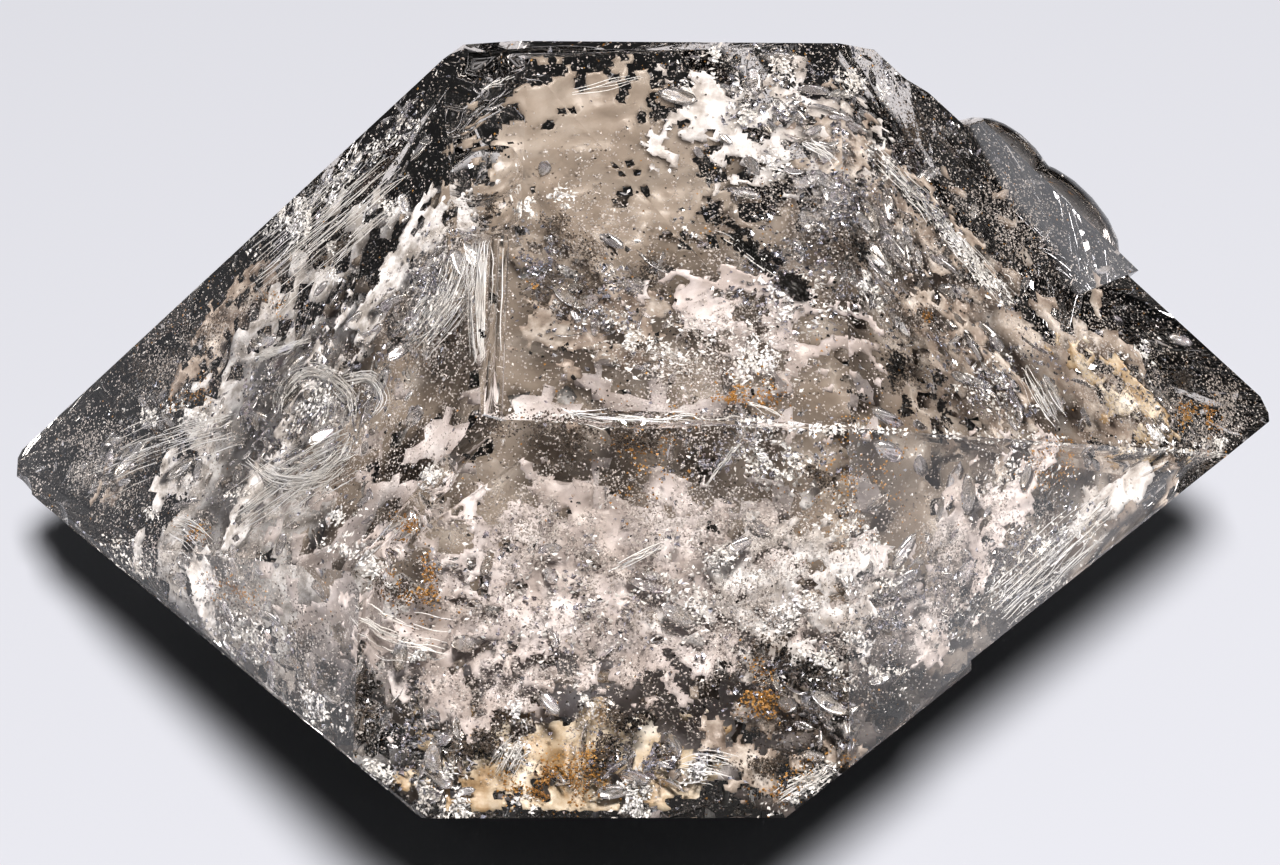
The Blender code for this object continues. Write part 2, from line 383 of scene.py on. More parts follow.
def randomTurn():
    return Vector(rng.uniform(0, 2 * math.pi, 3))


def facing(normal, along, roll, lean):
    # a turn whose Z is the flake's flat side and whose X is its long way
    z = normal.normalized()
    x = (along - z * along.dot(z)).normalized()
    y = z.cross(x)
    axes = Matrix((x, y, z)).transposed()
    return (axes @ Matrix.Rotation(roll, 3, "X") @ Matrix.Rotation(lean, 3, "Y")).to_euler()


# paths and patches drawn over the picture, in its pixels

scatter = {
    "margin": 0.1,  # mm of clear quartz over a body's middle
    "tries": 8,  # for each body, before a patch is left thinner
    "patchSpread": 0.45,  # deviation, as a share of the reach
    "spread": 0.5,  # deviation, as a share of a spread, a fan or a lean
    "blur": 0.1,  # how soft the torn edge of a patch is
    "cloudBlur": 0.12,
    "seed": 0.37,  # for each pixel: patches aren't torn alike
    "depth": (0.4, 2.0),  # mm
}


def alongPath(path, t):
    # a smooth curve through the points: its place and its heading at t, from 0 to 1
    span = min(int(t * (len(path) - 1)), len(path) - 2)
    u = t * (len(path) - 1) - span
    before, start, end, after = [Vector(path[min(max(span + k, 0), len(path) - 1)]) for k in (-1, 0, 1, 2)]
    bendIn, bendOut = (end - before) / 2, (after - start) / 2
    place = (start * (2 * u ** 3 - 3 * u ** 2 + 1) + bendIn * (u ** 3 - 2 * u ** 2 + u)
             + end * (3 * u ** 2 - 2 * u ** 3) + bendOut * (u ** 3 - u ** 2))
    heading = (start * (6 * u ** 2 - 6 * u) + bendIn * (3 * u ** 2 - 4 * u + 1)
               + end * (6 * u - 6 * u ** 2) + bendOut * (3 * u ** 2 - 2 * u))
    return place, heading.normalized() if heading.length > 0 else Vector((1, 0))


def wisp(x, y, scale, seed):
    # from about -1 to 1: a ragged cloud pattern over the picture
    return noise.fractal(Vector((x / scale, y / scale, seed)), 0.7, 2.0, 3)


def bodyAt(x, y, depth, heading, kind):
    # one small body: its long way follows the heading within a fan, and it lies flat to the eye
    # within a lean
    place, inward = under(x, y, depth)
    if place is None or not inside(place, kind.get("margin", scatter["margin"])):
        return None
    turned = math.radians(rng.normal(0, scatter["spread"]) * kind["fan"])
    step = Vector((heading.x * math.cos(turned) - heading.y * math.sin(turned),
                   heading.x * math.sin(turned) + heading.y * math.cos(turned)))
    way = right * step.x - up * step.y
    way = (way - inward * way.dot(inward)).normalized()
    roll, lean = (math.radians(rng.normal(0, scatter["spread"]) * kind["lean"]) for k in (0, 1))
    return place, facing(-inward, way, roll, lean), bodySize(kind)


def bodySize(kind):
    radius = math.exp(rng.uniform(*(math.log(v) for v in kind["size"]))) * mm
    return radius * kind["long"], radius, radius * kind["thin"]


def bodiesAt(spot, kind, count, depth, seed):
    # bodies at the spots that a torn pattern keeps; one that falls outside the quartz isn't made up for
    made = []
    for attempt in range(scatter["tries"] * count):
        if len(made) >= count:
            break
        x, y, heading = spot()
        if wisp(x, y, kind["wisp"], seed * scatter["seed"]) + rng.normal(0, scatter["blur"]) < kind["ragged"]:
            continue
        body = bodyAt(x, y, rng.uniform(*depth), heading, kind)
        if body is None:
            count -= 1
        else:
            made.append(body)
    return made


def bodiesInPatch(kind, x, y, reach, count, depth=scatter["depth"], turn=0.0, narrow=1.0):
    # a ragged patch about a point of the picture
    c, s = math.cos(math.radians(turn)), math.sin(math.radians(turn))

    def spot():
        a, b = rng.normal(0, scatter["patchSpread"], 2) * (reach, reach * narrow)
        return x + a * c - b * s, y + a * s + b * c, Vector((c, s))

    return bodiesAt(spot, kind, count, depth, x)


def bodiesAlong(kind, path, spread, count, depth=scatter["depth"]):
    # a stream along a path over the picture
    def spot():
        place, heading = alongPath(path, rng.uniform())
        place = place + Vector(rng.normal(0, scatter["spread"], 2) * spread)
        return place.x, place.y, heading

    return bodiesAt(spot, kind, count, depth, path[0][0])


def bodiesInCrystal(kind, count, scale, least, margin=0.3, seed=0.0):
    # clouds of this many mm all through the crystal, for its other sides
    low, high = cadBox
    made = []
    shift = Vector((seed, seed, seed))
    while len(made) < count:
        place = Vector([rng.uniform(low[k], high[k]) for k in range(3)])
        cloud = noise.fractal(place / (scale * mm) + shift, 0.6, 2.1, 4) + rng.normal(0, scatter["cloudBlur"])
        if cloud >= least and inside(place, margin):
            made.append((place, randomTurn(), bodySize(kind)))
    return made


def bodiesOf(kind):
    made = []
    for row in kind.get("patches", ()):
        made += bodiesInPatch(kind, *row)
    for row in kind.get("streams", ()):
        made += bodiesAlong(kind, *row)
    for row in kind.get("all", ()):
        made += bodiesInCrystal(kind, *row)
    return made


# materials inside the quartz

mottle = {"detail": 8.0, "roughness": 0.65}


def mottled(name, values, scale, stops):
    # a surface whose colour wanders between the stops over this many millimetres
    material, tree, shader = newMaterial(name, values)
    where = addNode(tree, "ShaderNodeTexCoord")
    cloud = addNode(tree, "ShaderNodeTexNoise", links={"Vector": where.outputs["Object"]}, values={
        "Scale": 1 / (scale * mm), "Detail": mottle["detail"], "Roughness": mottle["roughness"]})
    ramp = addNode(tree, "ShaderNodeValToRGB", links={"Fac": cloud.outputs["Fac"]})
    steps = ramp.color_ramp.elements
    while len(steps) < len(stops):
        steps.new(0.5)
    for step, (place, colour) in zip(steps, stops):
        step.position = place
        step.color = linear(colour)
    tree.links.new(ramp.outputs["Color"], shader.inputs["Base Color"])
    return material


# fine dust of fluid bubbles, under a tenth of a millimetre: the haze

dust = {
    # a body's radius in mm, its length and thickness as shares of that, and how far it turns in degrees
    "size": (0.028, 0.06), "long": 1.0, "thin": 1.0, "fan": 180, "lean": 90,
    # the torn pattern's scale in pixels, and the least value of it that is kept
    "wisp": 55, "ragged": -0.1,
    "patches": (
        # x, y, reach px, count, depth mm, turn degrees, narrow
        (300, 430, 210, 9000, (0.5, 4.0), -40, 0.6),
        (430, 300, 110, 3000, (0.5, 4.0), -60, 0.6),
        (600, 570, 220, 10000, (0.6, 3.5), 0, 0.6),
        (520, 690, 200, 6000, (0.8, 3.5), 0, 0.5),
        (760, 600, 160, 6000, (0.6, 3.0), 0, 0.8),
        (960, 560, 170, 7000, (0.5, 3.0), -30, 0.5),
        (620, 200, 170, 3500, (2.0, 9.0), 0, 1.0),
        (690, 330, 150, 4000, (0.8, 4.0), 0, 0.7),
        (880, 240, 200, 6000, (0.6, 5.0), 40, 0.6),
        (1120, 380, 120, 3000, (0.5, 3.0), 30, 0.5),
        (240, 620, 120, 3000, (0.5, 3.0), 35, 0.6),
        (90, 470, 90, 2600, (0.3, 3.0), -20, 0.6), (200, 350, 150, 2200, (0.4, 3.0), -38, 0.25),
        (1200, 415, 60, 1500, (0.3, 2.0), 20, 0.7), (1000, 220, 90, 1200, (0.4, 2.5), 50, 0.5),
    ),
    # count, scale mm, least value kept, margin mm, seed
    "all": ((27000, 6.0, -0.02),),
}


def makeDust():
    made = bodiesOf(dust)
    rng.shuffle(made)
    half = len(made) // 2
    # a taupe haze with pale and pinkish places
    material = mottled("bubble_dust", {"Roughness": 0.35}, 4.0,
                       ((0.3, "9a8f86"), (0.45, "b9afa9"), (0.58, "d6cfcc"), (0.7, "c4b3b4")))
    setOnPoints("bubble_dust_1", made[:half], grain, material)
    setOnPoints("bubble_dust_2", made[half:], grain, material)


# veils: wide, thin, ragged sheets of bubbles along old healed cracks, cloudy and mottled

veils = {
    "cell": 4, "deepCell": 9,  # pixels
    "deep": 6,  # mm: from here down the coarser cell will do
    "thick": 0.03,  # mm
    "margin": 0.35,  # mm
    "jitter": 0.38,  # of a cell
    "torn": 24,  # pixels, the scale of the holes
    "tornBlur": 0.16,
    "core": 0.45,  # share of the reach that the rim leaves whole
    "fray": 1.6,  # how fast it thins out past that
    "seed": 0.01,  # for each pixel: veils aren't torn alike
    "rows": {
        # x, y, reach px, narrow, turn, depth mm, slope mm along and across, wave mm and px, holes, stuff
        "front_middle": (640, 590, 190, 0.62, 5, 2.2, 0.5, 1.2, 0.5, 90, -0.8, "pink"),
        "front_left": (450, 650, 120, 0.9, 70, 2.0, 0.8, -0.6, 0.5, 70, -0.5, "pink"),
        "front_right": (790, 590, 120, 0.9, -30, 1.8, -0.6, 0.8, 0.4, 60, -0.5, "pale"),
        "front_low": (560, 770, 190, 0.42, 0, 1.6, 0.3, -0.8, 0.5, 60, -0.5, "golden"),
        "front_low_right": (770, 740, 110, 0.7, 0, 1.6, 0.3, 0.6, 0.4, 50, -0.42, "brown"),
        "left_middle": (290, 430, 170, 0.55, -42, 1.5, 0.5, 0.8, 0.5, 60, -0.5, "silver"),
        "left_upper": (400, 270, 130, 0.5, -60, 1.6, -0.4, 0.6, 0.5, 60, -0.42, "silver"),
        "left_outline": (220, 330, 170, 0.3, -37, 1.8, 0.3, -0.8, 0.4, 40, -0.42, "brown"),
        "left_tip": (110, 480, 80, 0.5, -20, 1.2, 0.3, 0.4, 0.3, 40, -0.42, "brown"),
        "left_low": (220, 620, 170, 0.4, 38, 1.6, 0.4, 0.4, 0.4, 50, -0.42, "pale"),
        "top_left": (600, 180, 150, 0.8, 80, 5.0, 1.0, -0.8, 0.6, 80, -0.9, "smoke"),
        "top_middle": (610, 330, 130, 0.5, 5, 3.0, 0.6, 0.8, 0.5, 60, -0.42, "brown"),
        "top_right": (770, 130, 150, 0.6, 15, 2.4, 0.6, -0.8, 0.5, 60, -0.42, "pale"),
        "top_centre": (760, 320, 130, 0.6, 15, 2.2, 0.4, 0.8, 0.5, 60, -0.42, "pink"),
        "right_upper": (900, 200, 160, 0.5, 45, 2.4, 0.4, 0.5, 0.5, 50, -0.42, "brown"),
        "right_middle": (960, 350, 130, 0.6, 40, 2.0, 0.4, 0.5, 0.5, 50, -0.42, "brown"),
        "right_end": (1120, 390, 110, 0.5, 35, 1.6, 0.4, 0.5, 0.3, 50, -0.42, "golden"),
        "right_front": (960, 560, 170, 0.5, -35, 1.8, 0.4, 0.5, 0.4, 60, -0.5, "pink"),
        "right_front_end": (1120, 490, 110, 0.3, -25, 1.2, 0.3, 0.3, 0.3, 50, -0.42, "pale"),
        "deep_left": (330, 440, 330, 0.8, 8, 11.0, 3.0, 1.5, 1.2, 150, -0.8, "silver"),
        "deep_middle": (620, 400, 330, 0.9, -6, 15.0, -2.0, 1.5, 1.4, 150, -0.75, "smoke"),
        "deep_right": (960, 400, 330, 0.8, 4, 11.0, -3.0, -1.0, 1.2, 150, -0.75, "brown"),
        "deep_front": (620, 640, 300, 0.6, 4, 9.0, 1.0, 2.0, 1.2, 150, -0.8, "pink"),
    },
    # material, mottling mm, colours
    "stuff": {
        # milky, with a rosy cast
        "pink": ("bubble_veil_pinkish", 2.2,
            ((0.3, "9d918b"), (0.45, "bcb0ac"), (0.55, "d3c9c8"), (0.7, "f4efef"))),
        # grey to pure white, as snow
        "pale": ("bubble_veil_pale", 1.2,
            ((0.3, "8d847e"), (0.45, "bcb5b1"), (0.55, "dcd8d8"), (0.7, "ffffff"))),
        # finely mottled, cool and bright
        "silver": ("bubble_veil_silvery", 0.8,
            ((0.3, "6f6862"), (0.45, "b0aaa6"), (0.55, "dddadb"), (0.7, "ffffff"))),
        # brown, with pale clouds
        "brown": ("smoky_veil", 1.2,
            ((0.32, "574a40"), (0.45, "8f8075"), (0.55, "b0a398"), (0.7, "e6ded8"))),
        # an even grey-brown
        "smoke": ("smoky_quartz_veil", 3.0,
            ((0.3, "807265"), (0.5, "988b7f"), (0.7, "b1a69c"))),
        # rusty brown to cream
        "golden": ("iron_stained_veil", 1.6,
            ((0.3, "6b5335"), (0.42, "a58a68"), (0.55, "cdbda6"), (0.7, "f6efe4"))),
    },
}


def veilMesh(x, y, reach, narrow, turn, depth, slopeAlong, slopeAcross, wave, waveScale, holes):
    middle, inward = under(x, y, depth)
    c, s = math.cos(math.radians(turn)), math.sin(math.radians(turn))
    along, across = right * c - up * s, -right * s - up * c
    pixel = view["distance"] / view["focal"] * mm
    cell = veils["deepCell"] if depth > veils["deep"] else veils["cell"]
    long, wide = (int(2 * r / cell) for r in (reach, reach * narrow))
    bm, grid = bmesh.new(), {}
    for i in range(long + 1):
        for j in range(wide + 1):
            shake = Vector(rng.uniform(-veils["jitter"], veils["jitter"], 2)) * cell
            u, v = Vector((i * cell - reach, j * cell - reach * narrow)) + shake
            px, py = x + u * c - v * s, y + u * s + v * c
            deep = (slopeAlong * u / reach + slopeAcross * v / reach
                    + wave * wisp(px, py, waveScale, x * veils["seed"])) * mm
            place = middle + (along * u + across * v) * pixel + inward * deep
            past = max(0.0, math.hypot(u / reach, v / (reach * narrow)) - veils["core"])
            whole = wisp(px, py, veils["torn"], y * veils["seed"]) + rng.normal(0, veils["tornBlur"])
            if whole - veils["fray"] * past > holes and inside(place, veils["margin"]):
                grid[i, j] = bm.verts.new(place)
    for i, j in list(grid):
        ring = [grid.get(k) for k in ((i, j), (i + 1, j), (i + 1, j + 1), (i, j + 1))]
        if all(ring):
            bm.faces.new(ring)
    pinched = True
    while pinched:
        # squares that touch at a corner alone are taken out
        pinched = [v for v in bm.verts if sum(e.is_boundary for e in v.link_edges) > 2 or not v.link_faces]
        bmesh.ops.delete(bm, geom=pinched, context="VERTS")
    for face in bm.faces:
        face.smooth = True
    bmesh.ops.recalc_face_normals(bm, faces=bm.faces)
    bmesh.ops.solidify(bm, geom=bm.faces, thickness=veils["thick"] * mm)
    bmesh.ops.recalc_face_normals(bm, faces=bm.faces)
    return bm


def makeVeils():
    films = {key: mottled(name, {"Roughness": 0.45}, scale, stops)
             for key, (name, scale, stops) in veils["stuff"].items()}
    for name, row in veils["rows"].items():
        veil = meshObject(veilMesh(*row[:-1]), "veil_" + name, films[row[-1]])
        putInside(veil)
        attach(veil, "root")
    print("veils", len(veils["rows"]))


# healed cracks: thin white plates, silky where they catch the light

healed = {
    "size": (0.03, 0.075), "long": 2.2, "thin": 1.0, "fan": 110, "lean": 70,
    "wisp": 26, "ragged": 0.0,
    "patches": (
        (289, 210, 22, 260, (0.3, 1.2), -40, 0.7), (305, 222, 26, 240, (0.3, 1.5), -40, 0.7),
        (387, 212, 22, 160, (0.4, 1.5), -20, 0.6), (327, 204, 10, 50, (0.3, 1.0), -60, 0.4),
        (323, 251, 14, 60, (0.4, 1.2), -20, 0.6), (339, 275, 12, 60, (0.4, 1.2), -20, 0.7),
        (314, 406, 40, 700, (0.5, 2.0), -40, 0.8), (240, 495, 13, 70, (0.3, 1.0), 0, 0.6),
        (342, 514, 20, 120, (0.4, 1.5), 0, 0.6), (345, 543, 18, 150, (0.3, 1.5), 0, 0.8),
        (150, 512, 12, 60, (0.3, 1.0), 40, 0.6), (432, 481, 18, 130, (0.3, 1.2), -30, 0.8),
        (430, 300, 45, 420, (0.5, 2.5), -75, 0.5), (175, 416, 45, 220, (0.4, 1.5), 5, 0.4),
        (560, 600, 120, 500, (0.6, 3.0), 0, 0.7), (379, 567, 14, 90, (0.4, 1.4), 0, 1.0),
        (415, 656, 18, 130, (0.5, 1.8), 0, 0.8), (424, 788, 24, 260, (0.4, 1.8), 60, 0.8),
        (457, 806, 22, 240, (0.4, 1.6), 80, 0.8), (379, 770, 20, 200, (0.4, 1.6), 60, 0.7),
        (445, 773, 11, 60, (0.4, 1.2), 0, 1.0), (523, 710, 11, 120, (0.4, 1.2), 0, 1.0),
        (513, 747, 22, 180, (0.5, 1.8), 70, 0.7), (526, 805, 13, 90, (0.4, 1.4), 0, 0.7),
        (627, 801, 30, 420, (0.4, 2.0), 80, 0.8), (583, 696, 20, 100, (0.5, 1.6), 50, 0.3),
        (699, 770, 18, 170, (0.4, 1.6), -40, 0.6), (645, 783, 18, 120, (0.4, 1.6), 0, 0.8),
        (787, 616, 40, 420, (0.8, 2.5), -30, 0.5), (822, 664, 34, 380, (0.4, 2.0), 30, 0.5),
        (877, 660, 32, 300, (0.4, 2.0), 45, 0.35), (805, 786, 40, 380, (0.3, 1.6), -38, 0.35),
        (721, 555, 16, 130, (0.4, 1.4), 0, 0.7), (690, 600, 90, 420, (0.6, 2.5), 0, 0.6),
        (865, 560, 60, 320, (0.5, 2.5), 60, 0.5), (780, 460, 50, 380, (0.4, 1.8), 10, 0.5),
        (1050, 560, 60, 500, (0.4, 2.0), -45, 0.4), (1020, 470, 50, 260, (0.4, 2.0), 0, 0.6),
        (865, 85, 24, 260, (0.4, 1.6), 30, 0.6), (714, 62, 14, 80, (0.5, 1.6), 0, 1.0),
        (690, 92, 16, 90, (0.5, 1.6), 0, 1.0), (786, 66, 18, 140, (0.5, 1.6), 30, 0.8),
        (743, 111, 16, 90, (0.6, 1.8), 0, 1.0), (774, 160, 16, 90, (0.6, 1.8), 0, 1.0),
        (869, 291, 26, 260, (0.5, 2.0), 60, 0.5), (780, 300, 60, 300, (0.5, 2.5), 0, 0.7),
        (650, 340, 80, 400, (0.7, 3.0), 10, 0.5), (569, 198, 12, 70, (1.0, 2.5), 0, 1.0),
        (530, 190, 22, 110, (0.5, 1.5), 85, 0.35), (760, 360, 50, 360, (0.5, 2.0), 20, 0.7),
        (1137, 358, 16, 100, (0.4, 1.4), 0, 1.0), (1161, 430, 16, 160, (0.3, 1.2), 60, 0.7),
        (1214, 446, 14, 120, (0.3, 1.0), 0, 0.5), (1000, 385, 45, 300, (0.4, 2.0), 40, 0.8),
        (240, 640, 60, 300, (0.4, 2.0), 35, 0.6), (310, 700, 45, 260, (0.4, 2.0), 45, 0.6),
        (130, 560, 45, 160, (0.4, 1.5), 35, 0.4),
    ),
    "streams": (
        # path, spread px, count, depth mm
        (((250, 250), (300, 205), (360, 160), (430, 100)), 12, 420, (0.3, 2.0)),
        (((870, 150), (930, 210), (980, 270), (1010, 300)), 9, 620, (0.4, 1.6)),
        (((930, 640), (985, 590), (1040, 530)), 20, 420, (0.4, 2.0)),
        (((680, 224), (735, 264), (794, 302)), 2, 60, (0.2, 0.5)),
        (((500, 410), (600, 418), (750, 420), (850, 430)), 2.0, 150, (0.25, 0.6)),
        (((850, 430), (950, 437), (1065, 438), (1222, 455)), 2.0, 120, (0.25, 0.6)),
    ),
    "all": ((1500, 4.0, 0.05, 0.3, 7.0),),
}


def makeHealed():
    # white with a silky shine, and a breath of blue and pink
    material = mottled("healed_crack", {"Roughness": 0.3, "Specular IOR Level": 0.8}, 1.5,
                       ((0.35, "ddd7d2"), (0.5, "f4f2f0"), (0.62, "fbfbff"), (0.7, "eae6f4")))
    setOnPoints("healed_flakes", bodiesOf(healed), plate, material)


# open cracks: thin air in the quartz mirrors like silver, white or black by its angle

mirrors = {
    "size": (0.03, 0.12), "long": 1.7, "thin": 0.6, "fan": 180, "lean": 75,
    "wisp": 30, "ragged": 0.0,
    "patches": (
        (300, 400, 150, 1300, (0.4, 3.0), -40, 0.6), (430, 290, 70, 450, (0.4, 2.5), -70, 0.5),
        (600, 300, 70, 420, (0.6, 3.0), 0, 0.8), (540, 250, 40, 220, (0.6, 3.0), 80, 0.6),
        (760, 90, 110, 650, (0.4, 2.5), 10, 0.5), (780, 270, 90, 650, (0.3, 2.0), 30, 0.6),
        (880, 230, 110, 900, (0.3, 2.5), 50, 0.7), (1000, 380, 90, 650, (0.3, 2.0), 30, 0.6),
        (760, 460, 90, 380, (0.3, 2.0), 0, 0.5), (560, 600, 170, 500, (0.5, 2.5), 0, 0.6),
        (800, 690, 80, 520, (0.4, 2.0), 20, 0.6), (900, 620, 90, 450, (0.4, 2.0), -40, 0.5),
        (420, 740, 80, 380, (0.4, 2.0), 50, 0.6), (640, 760, 110, 450, (0.4, 2.0), 0, 0.4),
        (1030, 540, 80, 350, (0.3, 2.0), -45, 0.4), (230, 630, 110, 420, (0.4, 2.0), 35, 0.5),
        (150, 430, 90, 260, (0.4, 2.0), -40, 0.4), (1160, 400, 60, 260, (0.3, 1.6), 40, 0.6),
    ),
    "streams": (
        (((250, 250), (300, 205), (360, 160), (430, 100)), 16, 260, (0.3, 2.0)),
        (((870, 150), (930, 210), (980, 270), (1010, 300)), 11, 420, (0.3, 1.4)),
        (((885, 60), (920, 100), (970, 150)), 10, 200, (0.3, 1.4)),
    ),
    "all": ((2500, 4.0, 0.0, 0.3, 3.0),),
}


def makeMirrors():
    # silvery glints, bright or black by the flake's angle
    material = mottled("mirror_crack", {"Roughness": 0.12, "Metallic": 1.0}, 1.2,
                       ((0.3, "e9e2da"), (0.45, "f6f6f6"), (0.55, "e0e6fa"), (0.7, "f6e6ea")))
    setOnPoints("mirror_flakes", bodiesOf(mirrors), plate, material)


# larger open cracks: curved silvery leaves

leaves = {
    "size": (0.10, 0.42), "long": 2.2, "thin": 1.0, "fan": 60, "lean": 85,
    "wisp": 40, "ragged": -0.2, "margin": 0.5,  # mm, so that no leaf's tip breaks the surface
    "patches": (
        (300, 400, 150, 120, (0.5, 3.0), -40, 0.6), (430, 290, 60, 40, (0.5, 2.5), -75, 0.5),
        (600, 300, 90, 40, (1.0, 4.0), 20, 0.7), (780, 110, 110, 50, (0.5, 3.0), 20, 0.5),
        (860, 230, 110, 80, (0.5, 2.5), 50, 0.7), (1000, 370, 90, 50, (0.4, 2.0), 40, 0.6),
        (600, 600, 200, 45, (1.0, 4.0), 0, 0.5), (800, 700, 80, 40, (0.5, 2.0), 30, 0.6),
        (950, 580, 110, 45, (0.5, 2.0), -40, 0.5), (430, 750, 90, 40, (0.5, 2.0), 50, 0.6),
        (640, 780, 120, 40, (0.5, 2.0), 0, 0.4), (230, 630, 110, 50, (0.5, 2.0), 35, 0.5),
        (120, 450, 70, 25, (0.5, 1.5), -40, 0.5), (1170, 410, 60, 25, (0.4, 1.6), 40, 0.6),
        (805, 786, 36, 14, (0.3, 1.2), -38, 0.3),
    ),
    "all": ((400, 5.0, 0.0, 0.6, 9.0),),
}


def makeLeaves():
    # a softer silver, warm at its dark end
    material = mottled("open_crack", {"Roughness": 0.22, "Metallic": 0.9}, 1.0,
                       ((0.3, "bfb3a6"), (0.45, "ece8e4"), (0.55, "f7f7fb"), (0.7, "d8cdd6")))
    setOnPoints("crack_leaves", bodiesOf(leaves), leaf, material)


# black specks of bitumen, and painted shade: the same black specks fill a gash, an opening that is dark inside

bitumen_and_gash_shade = {
    "size": (0.03, 0.11), "long": 1.3, "thin": 6.0, "fan": 180, "lean": 90,
    "wisp": 14, "ragged": 0.0,
    "patches": (
        (308, 186, 8, 30, (0.3, 0.8), 0, 0.7), (235, 305, 8, 22, (0.3, 0.8), 0, 0.7),
        (268, 380, 6, 12), (289, 462, 6, 12), (365, 355, 5, 12), (345, 367, 5, 10), (383, 378, 5, 10),
        (444, 344, 6, 14), (174, 512, 20, 40, (0.3, 1.0), 125, 0.3), (145, 367, 18, 36), (155, 452, 16, 34),
        (431, 506, 5, 10), (467, 457, 6, 14, (0.3, 0.8)), (481, 341, 10, 26, (0.3, 0.8), 90, 0.4),
        (494, 300, 10, 26, (0.3, 0.8), 90, 0.4), (495, 79, 20, 110, (0.3, 0.8), 20, 0.4), (505, 155, 3, 5),
        (518, 227, 8, 26), (563, 347, 4, 9), (574, 377, 3, 5), (655, 117, 4, 9),
        (900, 77, 9, 34, (0.3, 1.0), 20, 0.5), (906, 112, 3, 6), (931, 109, 4, 9),
        (857, 250, 22, 130, (0.3, 1.4), 60, 0.5), (972, 162, 20, 90, (0.3, 1.0), 60, 0.6),
        (970, 197, 10, 40, (0.3, 1.0), 60, 0.6), (1000, 207, 7, 24), (1020, 257, 9, 34), (1052, 267, 9, 34),
        (896, 368, 22, 300, (0.3, 1.2), 85, 0.5), (906, 410, 15, 160, (0.3, 1.2), 85, 0.5),
        (941, 400, 28, 280, (0.3, 1.2), 85, 0.3), (991, 252, 32, 90, (0.3, 1.0), 75, 0.2),
        (1071, 359, 3, 5), (1058, 431, 3, 6), (1094, 439, 3, 6), (1079, 430, 3, 5), (1111, 436, 3, 5),
        (1091, 452, 5, 12), (1152, 471, 4, 8), (1049, 504, 7, 14, (0.3, 0.8), 60, 0.4),
        (579, 505, 4, 7), (568, 511, 3, 5), (595, 470, 3, 5), (615, 458, 3, 5), (753, 391, 3, 6),
        (768, 390, 3, 6),
        (861, 394, 9, 30, (0.3, 0.8), 30, 0.6), (715, 528, 10, 26, (0.3, 0.8), 30, 0.4),
        (371, 688, 12, 60), (359, 703, 7, 24), (631, 722, 14, 100), (606, 752, 14, 80), (475, 742, 18, 60),
        (723, 669, 9, 34), (772, 651, 14, 70, (0.3, 1.2), 10, 0.5), (808, 672, 20, 150, (0.3, 1.2), 25, 0.6),
        (854, 655, 8, 40), (829, 660, 5, 20), (840, 728, 18, 170, (0.3, 1.0), 88, 0.3),
        (952, 622, 14, 50, (0.3, 1.0), -45, 0.5), (962, 590, 10, 34), (891, 710, 16, 50, (0.3, 1.2), 40, 0.6),
        (507, 155, 3, 5), (375, 790, 8, 24), (365, 745, 5, 14), (640, 640, 150, 60, (0.5, 2.5)),
        (300, 400, 150, 120, (0.4, 2.5)), (900, 250, 120, 240, (0.4, 2.0)), (620, 300, 110, 90, (0.6, 3.0)),
    ),
    "streams": (
        # the first two streams pack the gash with shallow black specks: painted shade of the opening's dark
        # inside
        (((722, 225), (765, 258), (809, 298)), 9, 1100, (0.12, 0.5)),
        (((735, 240), (772, 272), (800, 292)), 6, 500, (0.12, 0.4)),
        (((338, 290), (352, 277), (366, 266)), 3, 60, (0.3, 0.7)),
        (((348, 302), (362, 291), (377, 279)), 3.5, 70, (0.3, 0.7)),
        (((310, 314), (323, 303), (336, 292)), 1.5, 24, (0.3, 0.7)),
        (((274, 345), (283, 338), (293, 330)), 1.5, 20, (0.3, 0.7)),
        (((870, 160), (930, 222), (976, 284)), 6, 120, (0.3, 0.9)),
        (((857, 575), (869, 572), (880, 571)), 1.2, 20, (0.3, 0.7)),
    ),
    "all": ((350, 3.0, 0.1, 0.3, 5.0),),
}


def makeBitumenAndGashShade():
    # tarry black, with a small shine; in the gash this black is painted shade
    material = mottled("black_bitumen_and_gash_shade", {"Roughness": 0.25}, 0.8, ((0.4, "070707"), (0.6, "1d1a18")))
    setOnPoints("bitumen_specks", bodiesOf(bitumen_and_gash_shade), plate, material)


# silky fibres: long healed edges of cracks, drawn out along their curves

